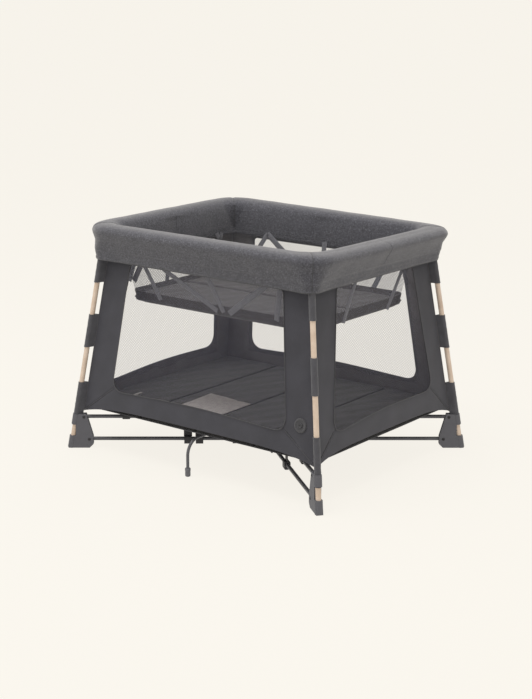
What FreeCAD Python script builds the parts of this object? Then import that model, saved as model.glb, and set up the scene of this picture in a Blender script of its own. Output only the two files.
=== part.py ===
import FreeCAD, Part
import math
import os
import re

from FreeCAD import Placement, Rotation, Vector

# A folding travel playpen. Four leaning leg tubes stand in foot brackets that two parallel links join to
# a hub under the floor. Four top rails, each in two halves, join the leg tops, and fabric walls, a floor,
# a mattress and a bassinet insert hang between them. Pulling the hub up draws the legs together.
# +X runs along the long side, +Z is up, and the origin is on the floor at the middle. Millimetres.

X, Y, Z = Vector(1, 0, 0), Vector(0, 1, 0), Vector(0, 0, 1)

# ---------------------------------------------------------------- driving sizes
SIZES = {
    # stance
    "foot_x": 515.0,  # leg axis on the floor, from the middle along X
    "foot_y": 412.0,  # leg axis on the floor, from the middle along Y
    "leg_lean": 9.9,  # lean of each leg towards the middle, degrees
    "rail_height": 735.0,  # axis of the top rails
    # leg tubes
    "leg_radius": 8.5,
    "leg_wall": 1.2,
    "leg_lift": 9.0,  # tube end above the floor
    "leg_rise": 16.0,  # tube end above the rail axis
    # foot brackets
    "bracket_thick": 22.0,
    "bracket_height": 118.0,
    "bracket_toe": 62.0,  # flat sole, inwards from the leg axis
    "bracket_nose": 75.0,  # furthest inward reach
    "bracket_heel": 9.0,  # sole, outwards from the leg axis
    "collar_radius": 12.5,
    "window_low": 43.0,  # cut-out that leaves the tube bare
    "window_high": 82.0,
    "sole_thick": 13.0,
    # links
    "lower_pivot_in": 61.5,  # from the leg axis on the floor, inwards
    "lower_pivot_height": 30.0,
    "upper_pivot_in": 45.0,
    "upper_pivot_height": 108.0,
    "hub_pivot_radius": 105.0,  # lower link pivots on the hub
    "link_radius": 6.2,
    "link_wall": 1.0,
    "link_eye": 8.0,
    "link_eye_width": 12.0,
    "link_side_gap": 0.9,
    "pin_radius": 3.0,
    "pin_gap": 0.05,  # running clearance on a pin
    "open_pin_gap": 0.4,  # clearance at the pivots that the tree leaves open
    # hub
    "hub_radius": 55.0,
    "hub_base": 16.0,
    "hub_top": 128.0,
    "hub_ear_thick": 5.0,
    "hub_ear_reach": 10.0,  # past the pivots
    "hub_slot_back": 11.0,  # behind the lower pivots
    "cap_radius": 46.0,
    "cap_thick": 4.0,
    "handle_radius": 9.0,
    "handle_gap": 0.3,
    "handle_depth": 30.0,
    "grip_radius": 24.0,
    "grip_thick": 5.0,
    # top rails
    "rail_radius": 8.0,
    "rail_wall": 1.2,
    "rail_eye": 9.0,
    "rail_eye_width": 12.0,
    "rail_neck": 12.5,  # where the tube starts, from the corner pivot
    "mid_reach": 50.0,  # bare length of the middle hinge, each side
    "mid_seat": 12.0,  # hinge plates inside the tube
    "mid_tongue": 10.0,
    "mid_ear_thick": 4.0,
    "mid_side_gap": 0.5,
    "mid_round": 9.0,
    # corner brackets on the leg tops
    "corner_sleeve": 13.0,
    "corner_drop": 45.0,
    "corner_cap": 5.0,
    "corner_ear": 10.0,
    "corner_ear_thick": 5.0,
    # padded rail covers
    "cover_top": 46.0,  # above the rail axis
    "cover_drop": 83.0,  # hem below the rail axis
    "cover_out": 40.0,  # widest, outside the rail axis
    "cover_in": 28.0,  # widest, inside the rail axis
    "cover_hem_out": 24.0,
    "cover_hem_in": 20.0,
    "channel_out": 17.0,
    "channel_in": 15.0,
    "channel_top": 27.0,
    "cover_leg_gap": 1.5,
    "soft_gap": 0.4,
    # walls
    "wall_inset": 14.0,  # outer face, inwards from the leg axes
    "wall_thick": 3.0,
    "wall_low": 140.0,
    "wall_below_rail": 36.0,
    "window_sill": 225.0,
    "window_below_rail": 95.0,  # the opening's head, which stays below the cover's hem
    "window_border": 88.0,
    "mesh_thick": 1.2,
    # floor, mattress
    "floor_low": 143.0,
    "floor_thick": 2.5,
    "mattress_thick": 24.0,
    "mattress_gap": 4.0,
    "panel_gap": 1.0,
    # bassinet insert
    "insert_half_x": 365.0,
    "insert_half_y": 257.0,
    "insert_low": 500.0,
    "insert_high": 655.0,
    "insert_rail_gap": 4.0,
    "insert_thick": 2.5,
    "insert_pad": 16.0,
    # wire support legs under the long sides
    "support_x": 12.0,
    "support_pivot_y": 66.0,
    "support_height": 118.0,
    "support_reach": 395.0,
    "support_bend": 50.0,
    "support_radius": 5.0,
    "support_eye": 7.0,
    "support_eye_width": 8.0,
    "support_side_gap": 0.5,
    "support_ear_thick": 3.0,
    "support_pin": 2.5,
    "boot_radius": 9.0,
    "boot_height": 18.0,
    "boot_floor": 6.0,
}


def sine(angle):
    return math.sin(math.radians(angle))


def cosine(angle):
    return math.cos(math.radians(angle))


def lay_out(s):
    """Places that follow from the driving sizes."""
    t = {}
    slope = math.tan(math.radians(s["leg_lean"]))
    t["foot_radius"] = math.hypot(s["foot_x"], s["foot_y"])
    t["corner_angle"] = math.degrees(math.atan2(s["foot_y"], s["foot_x"]))
    along, across = cosine(t["corner_angle"]), sine(t["corner_angle"])
    t["slope_x"] = slope * along  # leg axis, inward run for each unit of rise
    t["slope_y"] = slope * across
    t["leg_slope"] = slope
    t["leg_length"] = (s["rail_height"] + s["leg_rise"] - s["leg_lift"]) / cosine(s["leg_lean"])
    t["rail_x"] = s["foot_x"] - t["slope_x"] * s["rail_height"]
    t["rail_y"] = s["foot_y"] - t["slope_y"] * s["rail_height"]
    t["lower_foot_r"] = t["foot_radius"] - s["lower_pivot_in"]
    t["upper_foot_r"] = t["foot_radius"] - s["upper_pivot_in"]
    # The links are one length, so the leg stays upright as the frame folds. The top rails fold through
    # the same angle as the links when each rail half is as long as the link's run along that rail.
    t["link_length"] = t["lower_foot_r"] - s["hub_pivot_radius"]
    t["upper_hub_r"] = t["upper_foot_r"] - t["link_length"]
    t["long_half"] = t["link_length"] * along
    t["short_half"] = t["link_length"] * across
    t["slot_half"] = s["link_eye_width"] / 2 + s["link_side_gap"]
    t["mid_ear_in"] = s["mid_tongue"] / 2 + s["mid_side_gap"]
    t["corner_ear_in"] = s["rail_eye_width"] / 2 + s["mid_side_gap"]
    t["wall_top"] = s["rail_height"] - s["wall_below_rail"]
    t["window_head"] = s["rail_height"] - s["window_below_rail"]
    t["cover_hem"] = s["rail_height"] - s["cover_drop"]
    t["floor_top"] = s["floor_low"] + s["floor_thick"]
    t["mattress_low"] = t["floor_top"] + s["soft_gap"]
    t["mattress_top"] = t["mattress_low"] + s["mattress_thick"]
    inset = s["wall_inset"] + s["wall_thick"]
    t["floor_x"] = s["foot_x"] - t["slope_x"] * t["floor_top"] - inset - 2 * s["soft_gap"]
    t["floor_y"] = s["foot_y"] - t["slope_y"] * t["floor_top"] - inset - 2 * s["soft_gap"]
    t["mattress_x"] = s["foot_x"] - t["slope_x"] * t["mattress_top"] - inset - s["mattress_gap"]
    t["mattress_y"] = s["foot_y"] - t["slope_y"] * t["mattress_top"] - inset - s["mattress_gap"]
    t["panel_length"] = t["mattress_x"] / 2 - s["panel_gap"] * 0.75
    t["insert_rim_x"] = t["rail_x"] - s["cover_in"] - s["insert_rail_gap"]
    t["insert_rim_y"] = t["rail_y"] - s["cover_in"] - s["insert_rail_gap"]
    return t


LAYOUT = lay_out(SIZES)
VALUES = {**SIZES, **LAYOUT}

doc = FreeCAD.newDocument("playpen")


def fill_sheet(name, values):
    """A spreadsheet with one named cell for each value."""
    sheet = doc.addObject("Spreadsheet::Sheet", name)
    for row, (alias, value) in enumerate(values.items(), start=1):
        sheet.set("A%d" % row, alias)
        sheet.set("B%d" % row, repr(round(value, 6)))
        sheet.setAlias("B%d" % row, alias)
    return sheet


fill_sheet("Sizes", SIZES)
fill_sheet("Layout", LAYOUT)
doc.recompute()

nodes = []


def bound(expression):
    """The expression with each named size pointed at its sheet."""

    def cell(match):
        word = match.group(0)
        if word in SIZES:
            return "Sizes." + word
        return "Layout." + word if word in LAYOUT else word

    return re.sub(r"[a-z_]+", cell, expression)


def make(kind, name, at=("0", "0", "0"), turn=None, **sizes):
    """A Part object with its sizes and place bound to the sheets."""
    thing = doc.addObject(kind, name)
    thing.Placement = Placement(Vector(), turn or Rotation())
    for size, expression in sizes.items():
        thing.setExpression(size, bound(expression))
    for axis, expression in zip("xyz", at):
        if expression != "0":
            thing.setExpression("Placement.Base." + axis, bound(expression))
    return thing


def box(name, low, size):
    return make("Part::Box", name, low, Length=size[0], Width=size[1], Height=size[2])


def rod(name, at, axis, radius, length):
    """A cylinder from a point along an axis."""
    return make("Part::Cylinder", name, at, Rotation(Z, axis), Radius=radius, Height=length)


def fused(name, *pieces):
    thing = doc.addObject("Part::MultiFuse", name)
    thing.Shapes = list(pieces)
    thing.Refine = True
    return thing


def cut(name, base, *tools):
    thing = doc.addObject("Part::Cut", name)
    thing.Base = base
    thing.Tool = tools[0] if len(tools) == 1 else fused(name + "_tools", *tools)
    thing.Refine = True
    return thing


def group(name, *pieces):
    """Several separate solids as one piece."""
    thing = doc.addObject("Part::Compound", name)
    thing.Links = list(pieces)
    return thing


def mirrored(name, source, normal):
    thing = doc.addObject("Part::Mirroring", name)
    thing.Source = source
    thing.Normal = normal
    return thing


def node(thing, label):
    thing.Label = label
    nodes.append(thing)
    return thing


def at_ends(source, low_label, high_label, normal):
    """The piece and its mirror image: the source stands on the positive side."""
    node(source, high_label)
    node(mirrored(low_label, source, normal), low_label)


def at_corners(source, stem):
    """The piece at the back right corner and its mirror images at the other three."""
    node(source, stem + "_back_right")
    left = node(mirrored(stem + "_back_left", source, X), stem + "_back_left")
    node(mirrored(stem + "_front_right", source, Y), stem + "_front_right")
    node(mirrored(stem + "_front_left", left, Y), stem + "_front_left")


def plate(name, plane, points, thickness):
    """A body padded evenly both ways from a closed outline on one of its origin planes."""
    body = doc.addObject("PartDesign::Body", name)
    sketch = body.newObject("Sketcher::SketchObject", name + "_outline")
    base = [f for f in body.Origin.OriginFeatures if f.Role == plane][0]
    sketch.AttachmentSupport = [(base, "")]
    sketch.MapMode = "FlatFace"
    corners = [Vector(a, b, 0) for a, b in points]
    for start, end in zip(corners, corners[1:] + corners[:1]):
        sketch.addGeometry(Part.LineSegment(start, end), False)
    pad = body.newObject("PartDesign::Pad", name + "_pad")
    pad.Profile = sketch
    pad.SideType = "Symmetric"
    pad.setExpression("Length", bound(thickness))
    return body


corner_turn = Rotation(Z, LAYOUT["corner_angle"])
lean_turn = Rotation(Y, -SIZES["leg_lean"])


def swung(thing):
    """Turns a piece from the XZ plane into the back right corner's diagonal plane."""
    thing.Placement = Placement(Vector(), corner_turn)
    return thing


def leg_rod(name, height, radius, length):
    """A cylinder on the leg's axis, from a height above the floor, in the XZ plane."""
    at = ("foot_radius - leg_slope * (%s)" % height, "0", height)
    return make("Part::Cylinder", name, at, lean_turn, Radius=radius, Height=length)


def corner_rod(name, height, radius, length):
    """The same cylinder on the back right leg."""
    return swung(group(name, leg_rod(name + "_drawn", height, radius, length)))


# ---------------------------------------------------------------- leg tubes
def leg_tube():
    tube = leg_rod("leg_outside", "leg_lift", "leg_radius", "leg_length")
    bore = leg_rod("leg_inside", "leg_lift", "leg_radius - leg_wall", "leg_length")
    return swung(cut("leg_tube", tube, bore))


# ---------------------------------------------------------------- foot brackets
def foot_bracket():
    """A moulded plate with a shoe and a collar round the tube, bare tube between, and a slot for links."""
    s, r = SIZES, LAYOUT["foot_radius"]
    outline = [
        (r + s["bracket_heel"], 0),
        (r - s["bracket_toe"], 0),
        (r - s["bracket_nose"], s["sole_thick"]),
        (r - s["bracket_nose"], s["window_low"] - s["leg_lift"] / 2),
        (r - s["upper_pivot_in"] - s["link_eye"], s["bracket_height"]),
        (r - LAYOUT["leg_slope"] * s["bracket_height"], s["bracket_height"]),
    ]
    web = plate("bracket_web", "XZ_Plane", outline, "bracket_thick")
    shoe = leg_rod("bracket_shoe", "0", "collar_radius", "window_low")
    collar = leg_rod("bracket_collar", "window_high", "collar_radius", "bracket_height - window_high")
    solid = fused("bracket_solid", web, shoe, collar)
    reach, width = "bracket_nose", "bracket_thick + 2 * collar_radius"
    under = box("bracket_under", ("foot_radius - 2 * bracket_nose", "-bracket_thick", "-bracket_thick"),
                ("3 * bracket_nose", "2 * bracket_thick", "bracket_thick"))
    bare = box("bracket_bare", ("foot_radius - leg_slope * window_low - leg_radius - leg_wall",
                                "-(%s) / 2" % width, "window_low"),
               (reach, width, "window_high - window_low"))
    bore = leg_rod("bracket_bore", "leg_lift", "leg_radius", "leg_length")
    slot = box("bracket_slot", ("foot_radius - 2 * bracket_nose", "-slot_half", "sole_thick"),
               ("2 * bracket_nose - upper_pivot_in + link_eye + link_side_gap", "2 * slot_half",
                "bracket_height"))
    holes = []
    for end in ("lower", "upper"):
        at = (end + "_foot_r", "-bracket_thick", end + "_pivot_height")
        holes.append(rod("bracket_%s_hole" % end, at, Y, "pin_radius", "2 * bracket_thick"))
    return swung(cut("foot_bracket", solid, under, bare, bore, slot, *holes))


# ---------------------------------------------------------------- links
def link(end):
    """A tube with a flattened eye at each end, from its foot pivot to its hub pivot."""
    height = end + "_pivot_height"
    hub_r = "hub_pivot_radius" if end == "lower" else "upper_hub_r"
    start = (hub_r + " + link_eye", "0", height)
    length = "link_length - 2 * link_eye"
    tube = cut(end + "_link_tube",
               rod(end + "_link_outside", start, X, "link_radius", length),
               rod(end + "_link_inside", start, X, "link_radius - link_wall", length))
    parts, holes = [tube], []
    for side, at in (("hub", hub_r), ("foot", end + "_foot_r")):
        name = "%s_link_%s_" % (end, side)
        begin = (at, "-link_eye_width / 2", height)
        parts.append(rod(name + "eye", begin, Y, "link_eye", "link_eye_width"))
        shank = at if side == "hub" else at + " - 1.5 * link_eye"
        parts.append(rod(name + "plug", (shank, "0", height), X, "link_radius - link_wall / 2",
                         "1.5 * link_eye"))
        holes.append(rod(name + "hole", (at, "-link_eye_width", height), Y, "pin_radius + pin_gap",
                         "2 * link_eye_width"))
    return swung(cut(end + "_link", fused(end + "_link_solid", *parts), *holes))


# ---------------------------------------------------------------- hub
def hub():
    """A moulded drum with four diagonal forks for the links and two small forks for the wire legs."""
    s, t = SIZES, LAYOUT
    outer_low = s["hub_pivot_radius"] + s["hub_ear_reach"]
    outer_high = t["upper_hub_r"] + s["hub_ear_reach"]
    top = s["upper_pivot_height"] + s["hub_ear_reach"]
    core = rod("hub_core", ("0", "0", "hub_base"), Z, "hub_radius", "hub_top - hub_base")
    parts, slots = [core], []
    for number, angle in enumerate((t["corner_angle"], -t["corner_angle"])):
        outline = []
        for side in (1, -1):
            edge = [(side * outer_low, s["hub_base"]),
                    (side * outer_low, s["lower_pivot_height"] + s["hub_ear_reach"]),
                    (side * outer_high, s["upper_pivot_height"] - s["hub_ear_reach"]),
                    (side * outer_high, top)]
            outline += edge if side > 0 else edge[::-1]
        fork = plate("hub_fork_%d" % number, "XZ_Plane", outline, "2 * (slot_half + hub_ear_thick)")
        fork.Placement = Placement(Vector(), Rotation(Z, angle))
        parts.append(fork)
        for side in (0, 180):
            turn = Rotation(Z, angle + side)
            slot = make("Part::Box", "hub_slot_%d_%d" % (number, side), Length="hub_radius * 2",
                        Width="2 * slot_half", Height="hub_top * 2")
            offset = Vector(s["hub_pivot_radius"] - s["hub_slot_back"], -t["slot_half"], -s["hub_base"])
            slot.Placement = Placement(turn.multVec(offset), turn)
            slots.append(slot)
    for side, sign in (("front", -1), ("back", 1)):
        middle = "%d * support_x" % sign
        half = "(support_eye_width / 2 + support_side_gap + support_ear_thick)"
        out = "support_pivot_y + support_eye - hub_radius / 2"
        low = "hub_radius / 2" if sign > 0 else "-(support_pivot_y + support_eye)"
        parts.append(box("hub_lug_" + side, (middle + " - " + half, low, "support_height - support_eye"),
                         ("2 * " + half, out, "hub_top - support_height + support_eye")))
        inner = "(support_eye_width / 2 + support_side_gap)"
        low = ("support_pivot_y - support_eye - support_side_gap" if sign > 0
               else "-(support_pivot_y + 4 * support_eye)")
        slots.append(box("hub_lug_slot_" + side,
                         (middle + " - " + inner, low, "support_height - 4 * support_eye"),
                         ("2 * " + inner, "5 * support_eye + support_side_gap", "hub_top")))
        slots.append(rod("hub_lug_hole_" + side,
                         (middle + " - 2 * support_eye_width", "%d * support_pivot_y" % sign,
                          "support_height"), X, "support_pin", "4 * support_eye_width"))
    for corner in range(4):
        angle = t["corner_angle"] * (1, -1)[corner % 2] + 180 * (corner // 2)
        for end, radius in (("lower", s["hub_pivot_radius"]), ("upper", t["upper_hub_r"])):
            slots.append(diagonal_pin("hub_hole_%s_%d" % (end, corner), angle, radius, end,
                                      2 * (t["slot_half"] + s["hub_ear_thick"]) + 2 * s["hub_ear_reach"]))
    slots.append(rod("hub_handle_bore", ("0", "0", "hub_top - handle_depth"), Z,
                     "handle_radius + handle_gap", "2 * handle_depth"))
    return cut("hub", fused("hub_solid", *parts), *slots)


def diagonal_pin(name, angle, radius, end, length):
    """A cylinder across a diagonal plane, through a pivot at this radius."""
    pin = make("Part::Cylinder", name, Radius="pin_radius")
    pin.Height = length
    turn = Rotation(Z, angle)
    at = turn.multVec(Vector(radius, -length / 2, SIZES[end + "_pivot_height"]))
    pin.Placement = Placement(at, turn.multiply(Rotation(Z, Y)))
    return pin


def hub_pins():
    """The rivets of the hub's eight link pivots and two wire leg pivots."""
    s, t = SIZES, LAYOUT
    length = 2 * (t["slot_half"] + s["hub_ear_thick"])
    pins = []
    for corner in range(4):
        angle = t["corner_angle"] * (1, -1)[corner % 2] + 180 * (corner // 2)
        for end, radius in (("lower", s["hub_pivot_radius"]), ("upper", t["upper_hub_r"])):
            pins.append(diagonal_pin("hub_pin_%s_%d" % (end, corner), angle, radius, end, length))
    for side, sign in (("front", -1), ("back", 1)):
        half = "(support_eye_width / 2 + support_side_gap + support_ear_thick)"
        pins.append(rod("hub_wire_pin_" + side,
                        ("%d * support_x - %s" % (sign, half), "%d * support_pivot_y" % sign,
                         "support_height"), X, "support_pin", "2 * " + half))
    return group("hub_pins", *pins)


def hub_cap():
    disc = rod("cap_disc", ("0", "0", "hub_top"), Z, "cap_radius", "cap_thick")
    hole = rod("cap_hole", ("0", "0", "hub_top - cap_thick"), Z, "handle_radius + handle_gap",
               "3 * cap_thick")
    return cut("hub_cap", disc, hole)


def hub_handle():
    """The pull knob: a stem in the hub's bore with a round grip above the cap."""
    stem = rod("handle_stem", ("0", "0", "hub_top - handle_depth + handle_gap"), Z, "handle_radius",
               "handle_depth + cap_thick")
    grip = rod("handle_grip", ("0", "0", "hub_top + cap_thick + handle_gap"), Z, "grip_radius",
               "grip_thick")
    return fused("hub_handle", stem, grip)


# ---------------------------------------------------------------- corner brackets and pins
def corner_bracket():
    """A capped sleeve on the leg top with a fork for each of the two rails that meet there."""
    sleeve = corner_rod("corner_tube", "rail_height - corner_drop", "corner_sleeve",
                        "corner_drop + leg_rise + corner_cap")
    bore = corner_rod("corner_bore", "leg_lift", "leg_radius", "leg_length")
    parts, holes = [sleeve], []
    ear, thick = "corner_ear", "corner_ear_thick"
    for number, offset in enumerate(("corner_ear_in", "-corner_ear_in - corner_ear_thick")):
        for rail, across in (("long", "rail_y"), ("short", "rail_x")):
            name = "corner_%s_ear_%d" % (rail, number)
            level = "rail_height - corner_ear"
            if rail == "long":
                low = ("long_half", "rail_y + " + offset, level)
                size = ("rail_x - long_half", thick, "2 * " + ear)
                eye, axis = ("long_half", "rail_y + " + offset, "rail_height"), Y
            else:
                low = ("rail_x + " + offset, "short_half", level)
                size = (thick, "rail_y - short_half", "2 * " + ear)
                eye, axis = ("rail_x + " + offset, "short_half", "rail_height"), X
            parts.append(box(name, low, size))
            parts.append(rod(name + "_round", eye, axis, ear, thick))
    long_hole = ("long_half", "rail_y - 2 * corner_ear", "rail_height")
    short_hole = ("rail_x - 2 * corner_ear", "short_half", "rail_height")
    holes.append(rod("corner_long_hole", long_hole, Y, "pin_radius", "4 * corner_ear"))
    holes.append(rod("corner_short_hole", short_hole, X, "pin_radius", "4 * corner_ear"))
    # Each rail's eye turns clear of the sleeve however near the leg its pivot comes.
    room = ("rail_eye + mid_side_gap", "2 * corner_ear_in")
    holes.append(rod("corner_long_room", ("long_half", "rail_y - corner_ear_in", "rail_height"), Y, *room))
    holes.append(rod("corner_short_room", ("rail_x - corner_ear_in", "short_half", "rail_height"), X, *room))
    return cut("corner_bracket", fused("corner_solid", *parts), bore, *holes)


def corner_pins():
    """The rivets of one leg: two in the foot bracket and two in the corner bracket."""
    pins = []
    for end in ("lower", "upper"):
        length = SIZES["bracket_thick"]
        pins.append(diagonal_pin("foot_pin_" + end, LAYOUT["corner_angle"], LAYOUT[end + "_foot_r"],
                                 end, length))
    reach = "(corner_ear_in + corner_ear_thick)"
    pins.append(rod("long_rail_pin", ("long_half", "rail_y - " + reach, "rail_height"), Y, "pin_radius",
                    "2 * " + reach))
    pins.append(rod("short_rail_pin", ("rail_x - " + reach, "short_half", "rail_height"), X,
                    "pin_radius", "2 * " + reach))
    return group("leg_pins", *pins)


# ---------------------------------------------------------------- top rails
def rail_half(name, half, fork):
    """Half a rail along X from its corner pivot at x = 0 inwards to its middle pivot at x = half."""
    tube_start, tube_end = "rail_neck", half + " - mid_reach"
    length = "%s - mid_reach - rail_neck" % half
    tube = cut(name + "_tube",
               rod(name + "_outside", (tube_start, "0", "0"), X, "rail_radius", length),
               rod(name + "_inside", (tube_start, "0", "0"), X, "rail_radius - rail_wall", length))
    parts = [tube]
    width = "rail_eye_width"
    parts.append(rod(name + "_eye", ("0", "-%s / 2" % width, "0"), Y, "rail_eye", width))
    parts.append(rod(name + "_neck", ("0", "0", "0"), X, width + " / 2", "1.5 * rail_neck"))
    parts.append(rod(name + "_end", ("rail_neck", "0", "0"), X, "rail_radius", "rail_neck"))
    holes = [rod(name + "_eye_hole", ("0", "-" + width, "0"), Y, "pin_radius + pin_gap", "2 * " + width)]
    seat = half + " - mid_reach - mid_seat"
    if fork:
        for side, low in (("outer", "mid_ear_in"), ("inner", "-mid_ear_in - mid_ear_thick")):
            parts.append(box(name + "_ear_" + side, (seat, low, "-mid_round"),
                             ("mid_reach + mid_seat", "mid_ear_thick", "2 * mid_round")))
            parts.append(rod(name + "_round_" + side, (half, low, "0"), Y, "mid_round", "mid_ear_thick"))
        parts.append(rod(name + "_plug", (seat, "0", "0"), X, "rail_radius", "mid_seat"))
        parts.append(rod(name + "_rivet", (half, "-mid_ear_in - mid_ear_thick", "0"), Y, "pin_radius",
                         "2 * (mid_ear_in + mid_ear_thick)"))
    else:
        parts.append(box(name + "_tongue", (seat, "-mid_tongue / 2", "-mid_tongue / 2"),
                         ("mid_reach + mid_seat", "mid_tongue", "mid_tongue")))
        parts.append(rod(name + "_plug", (seat, "0", "0"), X, "rail_radius", "mid_seat"))
        parts.append(rod(name + "_round", (half, "-mid_tongue / 2", "0"), Y, "mid_round", "mid_tongue"))
        holes.append(rod(name + "_mid_hole", (half, "-mid_tongue", "0"), Y, "pin_radius + open_pin_gap",
                         "2 * mid_tongue"))
    return cut(name, fused(name + "_solid", *parts), *holes)


def top_rails():
    long_fork = rail_half("long_rail_fork", "long_half", True)
    long_tongue = rail_half("long_rail_tongue", "long_half", False)
    short_fork = rail_half("short_rail_fork", "short_half", True)
    short_tongue = rail_half("short_rail_tongue", "short_half", False)
    t, z = LAYOUT, SIZES["rail_height"]
    long_fork.Placement = Placement(Vector(-t["long_half"], t["rail_y"], z), Rotation())
    long_tongue.Placement = Placement(Vector(t["long_half"], t["rail_y"], z), Rotation(Z, 180))
    short_fork.Placement = Placement(Vector(t["rail_x"], -t["short_half"], z), Rotation(Z, 90))
    short_tongue.Placement = Placement(Vector(t["rail_x"], t["short_half"], z), Rotation(Z, -90))
    at_ends(long_fork, "front_rail_left", "back_rail_left", Y)
    at_ends(long_tongue, "front_rail_right", "back_rail_right", Y)
    at_ends(short_fork, "left_rail_front", "right_rail_front", X)
    at_ends(short_tongue, "left_rail_back", "right_rail_back", X)


# ---------------------------------------------------------------- padded rail covers
def cover_outline():
    """The padded roll's section, open below: distance outside the rail axis, and height."""
    s, z = SIZES, SIZES["rail_height"]
    hem = z - s["cover_drop"]
    out, inner, top = s["cover_out"], -s["cover_in"], z + s["cover_top"]
    return [
        (s["cover_hem_out"], hem),
        (out, z + s["cover_top"] * 0.28),
        (out * 0.85, z + s["cover_top"] * 0.72),
        (out * 0.4, top),
        (inner * 0.45, top),
        (inner * 0.9, z + s["cover_top"] * 0.6),
        (inner, z),
        (-s["cover_hem_in"], hem),
        (-s["channel_in"], hem),
        (-s["channel_in"], z + s["channel_top"]),
        (s["channel_out"], z + s["channel_top"]),
        (s["channel_out"], hem),
    ]


def mitre_block(name, half_along, half_across):
    """A prism that bounds one side's cover: its ends are cut at 45 degrees through the rail corner."""
    s = SIZES
    outer, inner = s["cover_out"] + s["soft_gap"], -s["cover_in"] - s["soft_gap"]
    gap = s["soft_gap"] / 2
    outline = []
    for across, sign in ((outer, 1), (outer, -1), (inner, -1), (inner, 1)):
        outline.append((sign * (half_along + across - gap), half_across + across))
    return plate(name, "XY_Plane", outline, "4 * rail_height")


def rail_covers():
    gap = "cover_leg_gap"
    clear = [corner_rod("clear_leg", "0", "leg_radius + " + gap, "leg_length"),
             corner_rod("clear_sleeve", "rail_height - corner_drop - " + gap, "corner_sleeve + " + gap,
                        "corner_drop + leg_rise + corner_cap + 2 * " + gap)]
    left = [mirrored(c.Name + "_left", c, X) for c in clear]
    front = [mirrored(c.Name + "_front", c, Y) for c in clear]
    t = LAYOUT
    for name, across, along, low, high, normal, near in (
            ("long_cover", t["rail_y"], t["rail_x"], "front_rail_cover", "back_rail_cover", Y, left),
            ("short_cover", t["rail_x"], t["rail_y"], "left_rail_cover", "right_rail_cover", X, front)):
        block = mitre_block(name + "_block", along, across)
        outline = [(across + out, height) for out, height in cover_outline()]
        roll = plate(name + "_roll", "YZ_Plane", outline, "4 * rail_x")
        if name == "short_cover":
            block.Placement = Placement(Vector(), Rotation(Z, -90))
            roll.Placement = Placement(Vector(), Rotation(Z, -90))
        bounded = doc.addObject("Part::Common", name + "_bounded")
        bounded.Base, bounded.Tool = roll, block
        at_ends(cut(name, bounded, *clear, *near), low, high, normal)


# ---------------------------------------------------------------- walls
LONG_TURN = Rotation(-X, Z, Y, "YXZ")  # wedge height up, wedge depth towards +Y
SHORT_TURN = Rotation(Y, Z, X, "YXZ")  # wedge height up, wedge depth towards +X


def leaning_panel(name, side, low, high, inset, thick, end_inset):
    """A flat panel that leans with the legs, between two heights, inside the leg axes."""
    across, along = ("foot_y", "foot_x") if side == "long" else ("foot_x", "foot_y")
    lean = "slope_y" if side == "long" else "slope_x"
    end_lean = "slope_x" if side == "long" else "slope_y"
    outer = "%s - %s * (%s) - (%s)"
    half = "%s - %s * (%s) - (%s)"
    low_face, high_face = (outer % (across, lean, at, inset) for at in (low, high))
    low_half, high_half = (half % (along, end_lean, at, end_inset) for at in (low, high))
    return make("Part::Wedge", name, turn=LONG_TURN if side == "long" else SHORT_TURN,
                Ymin=low, Ymax=high,
                Xmin="-(%s)" % low_half, Xmax=low_half, X2min="-(%s)" % high_half, X2max=high_half,
                Zmin="%s - (%s)" % (low_face, thick), Zmax=low_face,
                Z2min="%s - (%s)" % (high_face, thick), Z2max=high_face)


def walls():
    """Fabric borders with mesh windows: the long walls fit between the short ones."""
    for side, normal, low, high in (("long", Y, "front", "back"), ("short", X, "left", "right")):
        butt = " + wall_thick + soft_gap" if side == "long" else ""
        ends = "wall_inset" + butt
        panel = leaning_panel(side + "_panel", side, "wall_low", "wall_top", "wall_inset",
                              "wall_thick", ends)
        window_ends = "wall_inset + window_border"
        window = leaning_panel(side + "_window", side, "window_sill", "window_head",
                               "wall_inset - wall_thick", "3 * wall_thick", window_ends)
        mesh = leaning_panel(side + "_mesh", side, "window_sill", "window_head",
                             "wall_inset + (wall_thick - mesh_thick) / 2", "mesh_thick", window_ends)
        at_ends(cut(side + "_wall", panel, window), low + "_wall", high + "_wall", normal)
        at_ends(mesh, low + "_mesh", high + "_mesh", normal)


# ---------------------------------------------------------------- floor, mattress, bassinet insert
def floor_panel():
    return box("floor_panel", ("-floor_x", "-floor_y", "floor_low"),
               ("2 * floor_x", "2 * floor_y", "floor_thick"))


def mattress_panels():
    """Four padded boards side by side: each pair folds flat against the other about the middle."""
    for stem, start in (("outer", "panel_length + 1.5 * panel_gap"), ("inner", "panel_gap / 2")):
        panel = box("mattress_" + stem, (start, "-mattress_y", "mattress_low"),
                    ("panel_length", "2 * mattress_y", "mattress_thick"))
        at_ends(panel, "mattress_panel_left_" + stem, "mattress_panel_right_" + stem, X)


def insert_frustum(name, low, high, inside):
    """A block with sloping sides: the insert's outer shape, or its inside when drawn in."""
    half = "%s - (%s)"
    wide_x, wide_y = half % ("insert_rim_x", inside), half % ("insert_rim_y", inside)
    slim_x, slim_y = half % ("insert_half_x", inside), half % ("insert_half_y", inside)
    return make("Part::Wedge", name, turn=LONG_TURN, Ymin=low, Ymax=high,
                Xmin="-(%s)" % slim_x, Xmax=slim_x, X2min="-(%s)" % wide_x, X2max=wide_x,
                Zmin="-(%s)" % slim_y, Zmax=slim_y, Z2min="-(%s)" % wide_y, Z2max=wide_y)


def insert_sides():
    outside = insert_frustum("insert_outside", "insert_low", "insert_high", "0")
    inside = insert_frustum("insert_inside", "insert_low", "insert_high", "insert_thick")
    return cut("insert_sides", outside, inside)


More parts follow.
